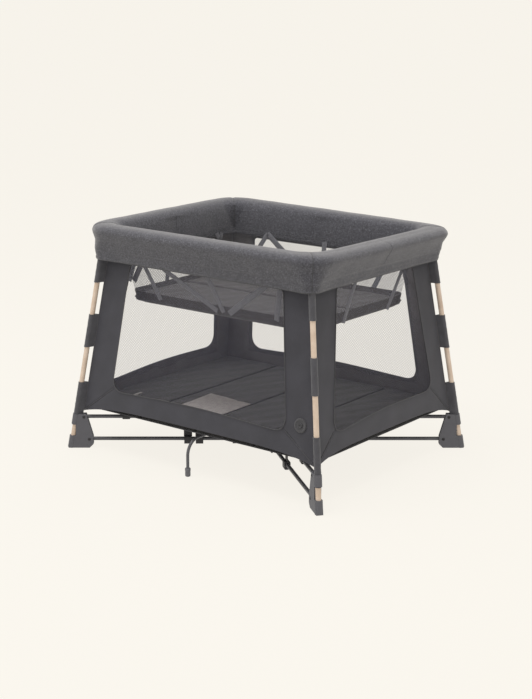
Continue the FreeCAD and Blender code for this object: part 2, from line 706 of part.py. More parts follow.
def insert_pads():
    margin = "(insert_thick + 2 * soft_gap)"
    pad = box("insert_pad_half", ("-insert_half_x + " + margin, "panel_gap / 2",
                                 "insert_low + soft_gap"),
                ("2 * (insert_half_x - %s)" % margin, "insert_half_y - %s - panel_gap / 2" % margin,
                 "insert_pad"))
    at_ends(pad, "bassinet_pad_front", "bassinet_pad_back", Y)


# ---------------------------------------------------------------- wire support legs
def support_wire():
    """A wire from its hub pivot out under the back side, bent down to the floor."""
    out = "support_reach - support_bend"
    run = rod("wire_run", ("support_x", "support_pivot_y", "support_height"), Y, "support_radius",
              out + " - support_pivot_y")
    drop = rod("wire_drop", ("support_x", "support_reach", "boot_floor"), Z, "support_radius",
               "support_height - support_bend - boot_floor")
    bend = make("Part::Torus", "wire_bend",
                ("support_x", out, "support_height - support_bend"), Rotation(Y, Z, X, "ZXY"),
                Radius1="support_bend", Radius2="support_radius")
    bend.Angle3 = 90
    eye = rod("wire_eye", ("support_x - support_eye_width / 2", "support_pivot_y", "support_height"), X,
              "support_eye", "support_eye_width")
    hole = rod("wire_hole", ("support_x - support_eye_width", "support_pivot_y", "support_height"), X,
               "support_pin + pin_gap", "2 * support_eye_width")
    trim = []
    for side, at in (("low", "support_x - support_eye_width / 2 - 2 * support_radius"),
                     ("high", "support_x + support_eye_width / 2")):
        trim.append(box("wire_trim_" + side,
                        (at, "support_pivot_y - 2 * support_eye", "support_height - 2 * support_eye"),
                        ("2 * support_radius", "4 * support_eye", "4 * support_eye")))
    return cut("support_wire", fused("wire_solid", run, bend, drop, eye), hole, *trim)


def support_boot():
    boot = rod("boot_outside", ("support_x", "support_reach", "0"), Z, "boot_radius", "boot_height")
    bore = rod("boot_bore", ("support_x", "support_reach", "boot_floor"), Z, "support_radius",
               "boot_height")
    return cut("support_boot", boot, bore)


def opposite(source, front_label, back_label):
    """The piece and its copy turned half round the middle."""
    node(source, back_label)
    turned = group(front_label, source)
    turned.Placement = Placement(Vector(), Rotation(Z, 180))
    node(turned, front_label)


# ---------------------------------------------------------------- the assembly
at_corners(leg_tube(), "leg_tube")
at_corners(foot_bracket(), "foot_bracket")
at_corners(corner_bracket(), "corner_bracket")
at_corners(corner_pins(), "leg_pins")
at_corners(link("lower"), "lower_link")
at_corners(link("upper"), "upper_link")
node(hub(), "hub_body")
node(hub_pins(), "hub_pins")
node(hub_cap(), "hub_cap")
node(hub_handle(), "hub_handle")
top_rails()
rail_covers()
walls()
node(floor_panel(), "floor_panel")
mattress_panels()
node(insert_sides(), "bassinet_sides")
insert_pads()
opposite(support_wire(), "support_wire_front", "support_wire_back")
opposite(support_boot(), "support_boot_front", "support_boot_back")

doc.recompute()

# ---------------------------------------------------------------- checks and export
for thing in doc.Objects:
    if "Invalid" in thing.State or "Error" in thing.State:
        raise RuntimeError("%s did not build: %s" % (thing.Name, thing.State))

os.makedirs("parts", exist_ok=True)
for thing in nodes:
    shape = thing.Shape
    if shape.isNull() or not shape.isValid() or shape.Volume <= 0 or not shape.Solids:
        raise RuntimeError("%s has no valid solid" % thing.Label)
    shape.exportStep(os.path.join("parts", thing.Label + ".step"))
    print("%-28s solids %2d volume %10.1f" % (thing.Label, len(shape.Solids), shape.Volume))
print(len(nodes), "nodes")
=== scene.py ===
import math

import bpy
import bmesh
import numpy as np
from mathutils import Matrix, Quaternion, Vector


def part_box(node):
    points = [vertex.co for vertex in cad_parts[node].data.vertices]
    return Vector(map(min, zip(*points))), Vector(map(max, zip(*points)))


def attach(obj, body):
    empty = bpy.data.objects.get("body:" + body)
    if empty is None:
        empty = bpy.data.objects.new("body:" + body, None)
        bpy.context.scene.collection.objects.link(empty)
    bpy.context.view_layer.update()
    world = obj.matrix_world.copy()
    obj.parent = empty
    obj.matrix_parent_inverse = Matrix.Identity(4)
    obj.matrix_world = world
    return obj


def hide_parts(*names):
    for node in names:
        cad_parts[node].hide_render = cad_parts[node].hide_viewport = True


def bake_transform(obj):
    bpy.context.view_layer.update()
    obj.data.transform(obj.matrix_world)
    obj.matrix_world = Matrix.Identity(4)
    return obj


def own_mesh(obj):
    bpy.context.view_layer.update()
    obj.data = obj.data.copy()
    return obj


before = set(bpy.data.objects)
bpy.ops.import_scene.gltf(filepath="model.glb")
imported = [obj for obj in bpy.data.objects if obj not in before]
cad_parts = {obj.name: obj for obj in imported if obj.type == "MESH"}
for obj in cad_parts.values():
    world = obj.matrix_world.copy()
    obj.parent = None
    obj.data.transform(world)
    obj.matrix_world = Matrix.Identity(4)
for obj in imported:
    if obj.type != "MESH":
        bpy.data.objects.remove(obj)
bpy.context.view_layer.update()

# ---- Leg tubes -----------------------------------------------------------------------------------
# Four round steel tubes, powder coated in warm beige. They lean in towards the middle as they rise,
# and every piece of cloth is hung from them or runs beside them.
FOOT = np.array([0.515, 0.412])  # a leg's axis where it meets the floor
RISE = np.array([0.13629, 0.10903])  # how far the axis runs inwards for each metre of rise
ROUND = 2 * math.pi
CORNERS = {"front_left": (-1, -1), "front_right": (1, -1), "back_left": (-1, 1), "back_right": (1, 1)}


def linear(hexcolour):
    """An sRGB hex colour as linear red, green, blue and alpha."""
    part = [int(hexcolour[i : i + 2], 16) / 255 for i in (0, 2, 4)]
    return [c / 12.92 if c <= 0.04045 else ((c + 0.055) / 1.055) ** 2.4 for c in part] + [1.0]


def add(tree, kind, sockets=None, **settings):
    """One node: settings are its own properties, and a socket takes a value or another node's output."""
    node = tree.nodes.new(kind)
    for key, value in settings.items():
        setattr(node, key, value)
    for key, value in (sockets or {}).items():
        if isinstance(value, bpy.types.NodeSocket):
            tree.links.new(value, node.inputs[key])
        else:
            node.inputs[key].default_value = value
    return node


def finish(name, roughness, metallic=0.0, **shader):
    """A new material with its roughness and other even values on the shader's own sockets."""
    made = bpy.data.materials.new(name)
    made.use_nodes = True
    tree = made.node_tree
    base = tree.nodes["Principled BSDF"]
    base.inputs["Roughness"].default_value = roughness
    base.inputs["Metallic"].default_value = metallic
    for key, value in shader.items():
        base.inputs[key.replace("_", " ")].default_value = value
    return made, tree, base, add(tree, "ShaderNodeTexCoord").outputs["Object"]


def ramp(tree, factor, *stops):
    """A colour ramp of (place, hex colour) stops."""
    node = add(tree, "ShaderNodeValToRGB", {"Fac": factor})
    band = node.color_ramp
    while len(band.elements) < len(stops):
        band.elements.new(0.5)
    for element, (place, colour) in zip(band.elements, stops):
        element.position, element.color = place, linear(colour)
    return node.outputs["Color"]


def bump(tree, base, height, depth_mm, strength=1.0):
    """Relief of a real depth in millimetres on the shader's normal."""
    node = add(tree, "ShaderNodeBump", {"Height": height, "Distance": depth_mm / 1000, "Strength": strength})
    tree.links.new(node.outputs["Normal"], base.inputs["Normal"])


def noise(tree, where, size_mm, detail=3.0, stretch=(1, 1, 1)):
    """Noise whose features are about this size; stretch draws them out along the axes."""
    scaled = add(tree, "ShaderNodeMapping", {"Vector": where, "Scale": [1 / s for s in stretch]})
    settings = {"Vector": scaled.outputs[0], "Scale": 1000 / size_mm, "Detail": detail}
    return add(tree, "ShaderNodeTexNoise", settings).outputs["Fac"]


def powder_coat(name, dark, light):
    """Powder-coated steel: an even satin colour with the coat's fine orange peel, 1.5 mm across."""
    made, tree, base, where = finish(name, 0.42, Specular_IOR_Level=0.45)
    tone = ramp(tree, noise(tree, where, 30), (0.35, dark), (0.65, light))
    tree.links.new(tone, base.inputs["Base Color"])
    bump(tree, base, noise(tree, where, 1.5), 0.05)
    return made


beige_coat = powder_coat("powder_coated_steel_beige", "C3AF9D", "D0BEAE")
grey_coat = powder_coat("powder_coated_steel_grey", "46464B", "535358")


def paint(made, *stems):
    """Puts a finish on the CAD nodes whose names start with any of the stems."""
    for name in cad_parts:
        if name.startswith(stems):
            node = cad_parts[name]
            node.data.materials.clear()
            node.data.materials.append(made)


paint(beige_coat, "leg_tube")

# ---- Foot brackets and corner brackets -------------------------------------------------------------
# Glass-filled nylon mouldings, fine spark-textured grey: one plate at each foot takes both links, and
# one at each leg top takes two rails. They are pinned through with steel rivets.


def moulded(name, dark, light, roughness=0.55):
    """Moulded nylon: faint mottling from the glass fill and a spark-eroded texture of 0.8 mm."""
    made, tree, base, where = finish(name, roughness, Specular_IOR_Level=0.4)
    tone = ramp(tree, noise(tree, where, 14), (0.2, dark), (0.8, light))
    tree.links.new(tone, base.inputs["Base Color"])
    bump(tree, base, noise(tree, where, 0.8), 0.06)
    return made


grey_nylon = moulded("glass_filled_nylon_grey", "525258", "58585E")
dark_nylon = moulded("glass_filled_nylon_dark", "353539", "414145")
black_nylon = moulded("glass_filled_nylon_black", "232225", "2E2D30", 0.45)
paint(grey_nylon, "foot_bracket")
paint(dark_nylon, "corner_bracket")

rivet_steel, tree, base, where = finish("zinc_plated_rivet_steel", 0.35, 1.0)
tree.links.new(ramp(tree, noise(tree, where, 3), (0.3, "6E6E70"), (0.7, "8C8C8E")), base.inputs["Base Color"])
paint(rivet_steel, "leg_pins", "hub_pins")

# ---- Pivot bolt heads ------------------------------------------------------------------------------
# A dark domed head with a hexagon socket on each side of every foot bracket, two to a side. The head
# is turned steel, pressed on to the end of the pivot pin.
FOOT_R = float(np.hypot(*FOOT))
OUTWARD = FOOT / FOOT_R  # the diagonal plane's direction in plan
BOLTS = ((FOOT_R - 0.0615, 0.030), (FOOT_R - 0.045, 0.108))
HEAD_R, HEAD_RISE, PLATE_HALF, SUNK = 0.0052, 0.0022, 0.011, 0.0004
# The head's section from its socket to its back, in shares of its radius and its rise.
HEAD = np.array([(0, 0.35), (0.42, 0.35), (0.46, 0.9), (0.8, 0.8), (1, 0.25), (1, 0), (0, 0)])


def dress(name, mesh, made):
    """Merges a mesh's doubles, turns its faces outwards, shades it, and puts it in the scene."""
    work = bmesh.new()
    work.from_mesh(mesh)
    bmesh.ops.remove_doubles(work, verts=work.verts, dist=1e-6)
    bmesh.ops.dissolve_degenerate(work, edges=work.edges, dist=1e-7)
    bmesh.ops.recalc_face_normals(work, faces=work.faces)
    work.to_mesh(mesh)
    work.free()
    mesh.materials.append(made)
    mesh.polygons.foreach_set("use_smooth", np.full(len(mesh.polygons), True))
    mesh.set_sharp_from_angle(angle=math.radians(50))
    piece = bpy.data.objects.new(name, mesh)
    bpy.context.scene.collection.objects.link(piece)
    return piece


def joined(name, made, *grids):
    """One mesh from several grids of points, each (points, loop, caps). loop joins each row's end to its
    start; caps close the first and last rows with one face each."""
    points, faces, start = [], [], 0
    for grid, loop, caps in grids:
        rows, columns = grid.shape[:2]
        index = np.arange(rows * columns).reshape(rows, columns) + start
        if caps:
            faces += [index[0].tolist(), index[-1][::-1].tolist()]
        if loop:
            index = np.concatenate([index, index[:, :1]], axis=1)
        quads = np.stack([index[:-1, :-1], index[1:, :-1], index[1:, 1:], index[:-1, 1:]], axis=-1)
        faces += quads.reshape(-1, 4).tolist()
        points.append(grid.reshape(-1, 3))
        start += rows * columns
    mesh = bpy.data.meshes.new(name)
    mesh.from_pydata(np.concatenate(points).tolist(), [], faces)
    return dress(name, mesh, made)


def skin(name, points, made, loop=False, caps=False):
    """A mesh over one grid of points."""
    return joined(name, made, (points, loop, caps))


def turned(profile, centre, axis, steps=24):
    """A turned shape: (radius, height) pairs swept round an axis through the centre."""
    axis = np.array(axis, float) / np.linalg.norm(axis)
    side = np.cross(axis, [0.0, 0.0, 1.0] if abs(axis[2]) < 0.9 else [1.0, 0.0, 0.0])
    side /= np.linalg.norm(side)
    other = np.cross(axis, side)
    angle = np.linspace(0, ROUND, steps, endpoint=False)[None, :, None]
    radius, height = (np.array([p[i] for p in profile], float)[:, None, None] for i in (0, 1))
    return centre + height * axis + radius * (np.cos(angle) * side + np.sin(angle) * other)


for corner, (sx, sy) in CORNERS.items():
    out = np.array([sx * OUTWARD[0], sy * OUTWARD[1], 0.0])
    across = np.array([-out[1], out[0], 0.0])
    heads = []
    for radius, height in BOLTS:
        for face in (1, -1):
            centre = out * radius + np.array([0, 0, height]) + across * face * (PLATE_HALF - SUNK)
            dome = HEAD * [HEAD_R, HEAD_RISE]
            heads.append((turned(dome, centre, across * face), True, False))
    bolt = joined("pivot_bolts_" + corner, black_nylon, *heads)
    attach(bolt, "leg_" + corner)

# ---- Links and their clips -------------------------------------------------------------------------
# Two parallel steel tubes run from each foot to the hub. Black moulded clips with a webbing tail hold
# the floor cloth to the lower link, so that it is drawn in with the frame.
paint(grey_coat, "lower_link", "upper_link", "support_wire")
LINK_Z, CLIP_DROP = 0.030, 0.003


def webbing(name, dark, light, rib_mm=2.4):
    """Woven polyester webbing: flat ribs across the band, drawn twice as coarse as the real 1.2 mm."""
    made, tree, base, where = finish(name, 0.8, Sheen_Weight=0.25)
    scale = 1000 / rib_mm / ROUND * 2
    ribs = add(tree, "ShaderNodeTexWave", {"Vector": where, "Scale": scale, "Distortion": 0.6},
               bands_direction="Z")
    tree.links.new(ramp(tree, noise(tree, where, 5), (0.3, dark), (0.7, light)), base.inputs["Base Color"])
    bump(tree, base, ribs.outputs["Fac"], 0.25)
    return made


black_webbing = webbing("polyester_webbing_black", "262528", "333236")
grey_webbing = webbing("polyester_webbing_grey", "5E5E64", "707076")


def band(profile_half, points, frame_u, frame_v):
    """A bar along straight points. Its section is a squared-off ellipse: a circle's cosine and sine, each to
    the power 0.4, times the half width and the half thickness."""
    width, thick = profile_half
    angle = np.linspace(0, ROUND, 16, endpoint=False)
    round_trip = np.stack([np.cos(angle), np.sin(angle)])
    u, v = (np.sign(round_trip) * np.abs(round_trip) ** 0.4)[..., None]
    return np.asarray(points)[:, None, :] + (width * u * frame_u + thick * v * frame_v)[None]


UPPER_Z, GUIDE_AT = 0.108, 0.473
CLIP_HALF, TAIL_HALF, GUIDE_HALF = (0.0105, 0.0140), (0.0140, 0.0014), (0.0090, 0.0090)
LENGTHS = (-0.0125, -0.0110, 0.0110, 0.0125)  # a clip's stations along its link
TAIL_HEIGHTS = (0.0105, 0.035, 0.065, 0.095, 0.1120)
CLIPS = {"front_left": (0.227, 0.266), "front_right": (0.271,),
         "back_left": (0.271,), "back_right": (0.227, 0.266)}  # how far each is from the middle
for corner, places in CLIPS.items():
    sx, sy = CORNERS[corner]
    out = np.array([sx * OUTWARD[0], sy * OUTWARD[1], 0.0])
    across = np.array([-out[1], out[0], 0.0])
    up = np.array([0.0, 0.0, 1.0])
    shells, tails = [], []
    for radius in places:
        middle = out * radius + up * (LINK_Z - CLIP_DROP)
        ends = [middle + out * s for s in LENGTHS]
        shells.append((band(CLIP_HALF, ends, across, up), True, True))
        drop = [middle + up * h for h in TAIL_HEIGHTS]
        tails.append((band(TAIL_HALF, drop, out, across), True, True))
    clip = joined("link_clips_" + corner, black_nylon, *shells)
    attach(clip, "lower_link_" + corner)
    tail = joined("clip_tails_" + corner, black_webbing, *tails)
    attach(tail, "lower_link_" + corner)
    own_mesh(tail)
    ends = [out * (GUIDE_AT + s) + up * UPPER_Z for s in LENGTHS]
    guide = joined("link_guide_" + corner, black_nylon, (band(GUIDE_HALF, ends, across, up), True, True))
    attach(guide, "upper_link_" + corner)

# ---- Hub -------------------------------------------------------------------------------------------
# The black moulded drum under the floor that all eight links and both wire legs pivot on, with a pull
# knob on top that unlocks it. It hardly shows, so it keeps the plain shape it was moulded in.
paint(black_nylon, "hub_body", "hub_cap", "hub_handle")

# ---- Wire legs -------------------------------------------------------------------------------------
# A bent steel wire under each long side carries the middle of the floor. Its foot wears a pushed-on
# rubber cap with a rounded end and a thicker lip.
WIRE_X, WIRE_Y = 0.012, 0.395
boot_rubber, tree, base, where = finish("moulded_rubber_grey", 0.7, Specular_IOR_Level=0.3)
tree.links.new(ramp(tree, noise(tree, where, 6), (0.3, "5C5C61"), (0.7, "6B6B70")), base.inputs["Base Color"])
bump(tree, base, noise(tree, where, 1.0), 0.08)
BOOT = [(0, 0.0), (0.0062, 0.0), (0.0080, 0.0012), (0.0087, 0.004), (0.0085, 0.019), (0.0092, 0.0205),
        (0.0092, 0.0255), (0.0084, 0.0275), (0.0060, 0.0280), (0.0052, 0.0280), (0.0052, 0.006), (0, 0.006)]
for side, sign in (("front", -1), ("back", 1)):
    centre = np.array([sign * WIRE_X, sign * WIRE_Y, 0.0])
    boot = joined("wire_leg_boot_" + side, boot_rubber, (turned(BOOT, centre, (0, 0, 1), 32), True, False))
    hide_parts("support_boot_" + side)
    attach(boot, "support_" + side)

# ---- Top rails and their padded covers -------------------------------------------------------------
# Steel rail halves hinge at the middle of each side inside a thick foam roll covered in melange
# polyester. The roll leans out as it rises, is seamed at each corner, and is hemmed along the bottom.
HALVES = [("front", -1, "left"), ("front", 1, "right"), ("back", -1, "left"), ("back", 1, "right"),
          ("left", -1, "front"), ("left", 1, "back"), ("right", -1, "front"), ("right", 1, "back")]
paint(grey_coat, *("%s_rail_%s" % (side, word) for side, end, word in HALVES))
RAIL_Z = 0.735
RAIL = FOOT - RISE * RAIL_Z  # where the rail axes meet at a corner
PIVOT = np.array([0.3850, 0.3080])  # the corner pivots of the long and the short rails

melange, tree, base, where = finish("melange_polyester_grey", 0.92, Sheen_Weight=0.35, Sheen_Roughness=0.5)
yarns = noise(tree, where, 2.0, 3.0, (1.8, 1.8, 1.0))
clouds = noise(tree, where, 7.0, 2.0)
mixed = add(tree, "ShaderNodeMix", {0: 0.3, 2: yarns, 3: clouds}).outputs[0]
shade = ramp(tree, mixed, (0.32, "29292F"), (0.46, "3D3D44"), (0.54, "48484F"), (0.68, "64646C"))
tree.links.new(shade, base.inputs["Base Color"])
bump(tree, base, yarns, 0.4, 0.6)

piping_cloth, tree, base, where = finish("bias_binding_dark_grey", 0.85, Sheen_Weight=0.2)
tree.links.new(ramp(tree, noise(tree, where, 3), (0.3, "37373B"), (0.7, "454549")), base.inputs["Base Color"])


def rounded(outline, times=3):
    """A closed outline with its corners cut again and again, which leaves a smooth curve."""
    loop = np.array(outline, float)
    for _ in range(times):
        after = np.roll(loop, -1, axis=0)
        loop = np.stack([0.75 * loop + 0.25 * after, 0.25 * loop + 0.75 * after], axis=1).reshape(-1, 2)
    return loop


def half_side(along, across, bend, stations, turns=9, low=0.0):
    """Half a side of a rounded frame, from its middle to its corner's mitre: straight to the bend, then an
    eighth of a turn. along, across and bend are arrays, one value for each point of the section."""
    straight = np.linspace(low, 1, stations)[:, None] * (along - bend)[None]
    run = np.stack([straight, np.broadcast_to(across[None], straight.shape)], axis=-1)
    turn = np.linspace(0, math.pi / 4, turns)[1:, None]
    arc = np.stack([(along - bend) + bend * np.sin(turn), (across - bend) + bend * np.cos(turn)], axis=-1)
    return np.concatenate([run, arc])


def placed(plan, height, side, end):
    """Turns (along, across) and height into a place on one side: end is -1 or 1 along it."""
    a, b = plan[..., 0] * end, plan[..., 1]
    z = np.broadcast_to(height, a.shape)
    sign = 1 if side in ("back", "right") else -1
    flat = (a, sign * b) if side in ("front", "back") else (sign * b, a)
    return np.stack([flat[0], flat[1], z], axis=-1)


def cord_grid(path, radius, closed=False, sides=8):
    """A round cord along a path: its section stays square to the path, and it closes on itself if asked."""
    if closed:
        ahead = np.roll(path, -1, axis=0) - np.roll(path, 1, axis=0)
    else:
        ahead = np.gradient(path, axis=0)
    ahead /= np.linalg.norm(ahead, axis=1, keepdims=True)
    spread = np.ptp(path, axis=0)
    away = np.eye(3)[int(np.argmin(spread))] + 0.01
    side = np.cross(ahead, away)
    side /= np.linalg.norm(side, axis=1, keepdims=True)
    up = np.cross(side, ahead)
    angle = np.linspace(0, ROUND, sides, endpoint=False)[None, :, None]
    ring = path[:, None] + radius * (np.cos(angle) * side[:, None] + np.sin(angle) * up[:, None])
    return np.concatenate([ring, ring[:1]]) if closed else ring


def respaced(loop, count):
    """A closed outline's points set evenly along its length."""
    ring = np.concatenate([loop, loop[:1]])
    length = np.concatenate([[0], np.cumsum(np.linalg.norm(np.diff(ring, axis=0), axis=1))])
    at = np.linspace(0, length[-1], count, endpoint=False)
    return np.stack([np.interp(at, length, ring[:, i]) for i in (0, 1)], axis=-1)


# The cover's section, open below: how far outside the rail's axis each point is, and how far above it.
ROLL = respaced(rounded([
    (0.0210, -0.0880), (0.0262, -0.0880), (0.0310, -0.055), (0.0420, -0.018), (0.0510, 0.004),
    (0.0545, 0.018), (0.0480, 0.0320), (0.0300, 0.0385), (0.0080, 0.0385), (-0.0110, 0.0300),
    (-0.0205, 0.0130), (-0.0240, -0.020), (-0.0240, -0.060), (-0.0225, -0.0850), (-0.0180, -0.0860),
    (-0.0155, -0.0830), (-0.0150, -0.040), (-0.0145, 0.008), (-0.012, 0.0165), (0.016, 0.0205),
    (0.0185, 0.014), (0.0172, -0.040), (0.0178, -0.0840),
]), 150)
LEG_ROOM, LEG_REACH = 0.0060, 0.060  # how far a cover stands off round a leg top, and how far along
SHELL, CROWN = 0.0187, 0.024  # the section's outer skin lies further out than this, or higher
SEAM_R, HEM_R, HEM_OUT, HEM_DROP = 0.0013, 0.0017, 0.0238, 0.0868
BLEND_IN, BLEND_OUT = 0.014, -0.046  # where a cover starts and ends its bend past the corner pivot


def leg_of(side, end):
    """The name of the leg at one end of a side."""
    return "_".join((side, end) if side in ("front", "back") else (end, side))


def bell(distance, width):
    """A smooth hump: 1 at no distance, e to the power of minus one at its width."""
    return np.exp(-((distance / width) ** 2))


def corner_bend(off):
    """The radius of the corner's bend for a point this far outside the rail's axis."""
    return 0.014 + (off + 0.0240) * 0.50


def to_mitre(plan):
    """How far each point is from the last one of its line, at the corner seam."""
    return np.hypot(*(plan - plan[-1:]).transpose(2, 0, 1))


for side, end, word in HALVES:
    long_side = side in ("front", "back")
    along0, across0 = RAIL if long_side else RAIL[::-1]
    off, rise = ROLL[:, 0], ROLL[:, 1]
    upper = np.clip((rise + 0.060) / 0.080, 0, 1)
    # The rail tube keeps its place, so the inner side gives way less than the outer side does.
    yields = upper * (0.3 + 0.7 * np.clip((off + 0.018) / 0.038, 0, 1))
    plan = half_side(along0 + off, across0 + off, corner_bend(off) + 0.042 * upper, 60, 17)
    far = to_mitre(plan)
    place = plan[..., 0] / plan[-1:, :, 0]
    run, fixed = 0.5 + 0.5 * end * place, 1.0 if side in ("back", "right") else 0.0
    right, back = (run, fixed + 0 * run) if long_side else (fixed + 0 * run, run)
    slump = right * np.sqrt(back)
    # Foam fills the middle of a side a little more, dents where it folds, and is drawn in by the corner seam.
    swell = 0.0020 * (1 - place**2) * (off > 0.0185) * (rise > -0.05)
    dent = 0.0040 * bell(plan[..., 0], 0.060) * np.clip((-off - SHELL) / 0.003, 0, 1)
    pinch = 0.0022 * bell(far, 0.0050) * np.clip((rise + 0.08) / 0.01, 0, 1)
    groove = 0.0012 * bell(rise + 0.0735, 0.0022) * (np.abs(off) > 0.0190)
    over_leg = LEG_ROOM * bell(far, LEG_REACH) * (off > 0.0172) * np.clip((-rise - 0.02) / 0.03, 0, 1)
    wave = 0.0007 * np.sin(plan[..., 0] * 43 + rise * 25 + end) * np.sin(plan[..., 0] * 17 + 2.0 * across0)
    skin_side = np.where(np.abs(off) > SHELL, np.sign(off), 0)
    lean = (0.003 + 0.004 * right + 0.008 * slump) * yields
    push = lean + swell + dent + over_leg + skin_side * (wave - pinch - groove)
    plan = plan + push[..., None] * np.stack([place, np.ones_like(place)], axis=-1)
    sink = (0.003 * right + 0.013 * slump + 0.006 * (1 - back)) * yields
    height = RAIL_Z + rise - sink - pinch * (rise > CROWN) + 0.4 * wave * (rise > CROWN)
    surface = placed(plan, height, side, end)
    cover = skin("rail_cover_%s_%s" % (side, word), surface, melange, loop=True, caps=True)
    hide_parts(side + "_rail_cover")
    pivot = PIVOT[0] if long_side else PIVOT[1]
    leg, rail = "leg_" + leg_of(side, word), "%s_rail_%s" % (side, word)
    ends = [placed(np.array([pivot + d, across0]), RAIL_Z, side, end) for d in (BLEND_IN, BLEND_OUT)]
    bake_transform(cover)
    if long_side:  # the corner seam's doubled edge, one for each corner
        shell = np.where((np.abs(off) > SHELL) | (rise > CROWN))[0]
        start = shell[np.argmin(np.where(off[shell] > 0, rise[shell], 9))]
        order = np.roll(shell, -int(np.where(shell == start)[0][0]))
        seam_name = "rail_seam_%s_%s" % (side, word)
        seam = skin(seam_name, cord_grid(surface[-1][order], SEAM_R), piping_cloth, loop=True, caps=True)
        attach(seam, leg)

    # The hem is a folded edge with a cord of binding sewn round it.
    turn = np.linspace(0, ROUND, 10, endpoint=False)
    lip = HEM_OUT + HEM_R * np.cos(turn)
    plan = half_side(along0 + lip, across0 + lip, corner_bend(lip), 60, 17)
    plan = plan + (LEG_ROOM * bell(to_mitre(plan), LEG_REACH))[..., None]
    tube = placed(plan, RAIL_Z - HEM_DROP + HEM_R * np.sin(turn), side, end)
    hem = skin("rail_hem_%s_%s" % (side, word), tube, piping_cloth, loop=True, caps=True)
    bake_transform(hem)

# ---- Walls -----------------------------------------------------------------------------------------
# Each wall is a border of plain-woven polyester, mitred from the window's lower corners to the feet and
# stretched between two legs. Its lower edge arches up between them. Net is sewn into the opening.
WALL_IN, TUBE_GAP = 0.0145, 0.0145  # how far the cloth is inside the leg axes, across and along
WEAVE_SCALE, NET_SCALE = 72.0, 63.662  # what the wave texture calls the bands' closeness


def plain_weave(name, dark, light, rough=0.9, folds_mm=60):
    """Plain-woven polyester: its threads, 0.5 mm apart, are too fine to show, so level bands 4.4 mm apart
    and slanting ones 6 mm apart stand for them, over broad faint shade changes."""
    made, tree, base, where = finish(name, rough, Sheen_Weight=0.2)
    warp = add(tree, "ShaderNodeTexWave", {"Vector": where, "Scale": WEAVE_SCALE}, bands_direction="Z")
    weft = add(tree, "ShaderNodeTexWave", {"Vector": where, "Scale": WEAVE_SCALE}, bands_direction="DIAGONAL")
    both = {0: warp.outputs["Fac"], 1: weft.outputs["Fac"]}
    woven = add(tree, "ShaderNodeMath", both, operation="MULTIPLY")
    broad, fine = noise(tree, where, folds_mm, 2), noise(tree, where, 2.0, 2)
    tone = add(tree, "ShaderNodeMath", {0: broad, 1: fine}, operation="ADD")
    halved = add(tree, "ShaderNodeMath", {0: tone.outputs[0], 1: 0.5}, operation="MULTIPLY").outputs[0]
    tree.links.new(ramp(tree, halved, (0.38, dark), (0.62, light)), base.inputs["Base Color"])
    bump(tree, base, woven.outputs[0], 0.18, 0.6)
    return made


wall_cloth = plain_weave("plain_weave_polyester_charcoal", "303037", "383840")
lining = plain_weave("plain_weave_polyester_lining", "5D5A5B", "6A6768")


def net(name, thread, thin, thick):
    """Knitted net: its open cells, 1.5 mm across, are too fine to show, so slanting threads 7 mm apart on an
    upright wall stand for them. thin and thick are how much the cells and the threads cover."""
    made, tree, base, where = finish(name, 0.85)
    base.inputs["Base Color"].default_value = linear(thread)
    flip = add(tree, "ShaderNodeMapping", {"Vector": where, "Scale": (1, 1, -1)}).outputs[0]
    one = add(tree, "ShaderNodeTexWave", {"Vector": where, "Scale": NET_SCALE}, bands_direction="DIAGONAL")
    two = add(tree, "ShaderNodeTexWave", {"Vector": flip, "Scale": NET_SCALE}, bands_direction="DIAGONAL")
    lace = add(tree, "ShaderNodeMath", {0: one.outputs["Fac"], 1: two.outputs["Fac"]}, operation="MAXIMUM")
    veil = add(tree, "ShaderNodeMapRange", {"Value": lace.outputs[0], "From Min": 0.3, "From Max": 1.0,
                                            "To Min": thin, "To Max": thick})
    tree.links.new(veil.outputs["Result"], base.inputs["Alpha"])
    return made


window_net = net("knitted_net_pale_grey", "66677A", 0.04, 0.21)


def wall_place(side, a, z, inward):
    """A place on a wall: a runs along it, z is its height, and inward is the distance from its outer face."""
    lean, foot = (RISE[1], FOOT[1]) if side in ("front", "back") else (RISE[0], FOOT[0])
    b = foot - lean * z - WALL_IN - inward
    return placed(np.stack(np.broadcast_arrays(a, b), axis=-1), z, side, 1)


def leg_line(side, z):
    """How far along a wall its leg tubes are at each height."""
    i = 0 if side in ("front", "back") else 1
    return FOOT[i] - RISE[i] * z


# The opening's ends: how far along at a low height, and how that changes as it rises.
WINDOW = {"front": ((-0.353, 0.115), (0.355, -0.115)), "back": ((-0.355, 0.115), (0.353, -0.115)),
          "left": ((-0.270, 0.20), (0.281, -0.135)), "right": ((-0.270, 0.20), (0.281, -0.135))}
SILLS = {"front": (0.217, 0.214), "back": (0.217, 0.214), "left": (0.207, 0.224), "right": (0.207, 0.224)}
SLOPE_FROM = 0.27  # the height at which WINDOW gives the ends
HEAD_Z, CURVE, TOP_CURVE = 0.640, 0.048, 0.012
WALL_TOP, WALL_FOOT, WALL_ARCH = 0.695, 0.1280, 0.0280


def window_end(side, end, z):
    """How far along a wall one end of its opening is at each height: a straight, leaning line."""
    place, slope = WINDOW[side][0 if end < 0 else 1]
    return place + slope * (z - SLOPE_FROM)


def closer_at_ends(count):
    """Shares from 0 towards 1, set closer at both ends: partly even, partly a half cosine's."""
    even = np.linspace(0, 1, count, endpoint=False)
    return 0.6 * (1 - np.cos(math.pi * even)) / 2 + 0.4 * even


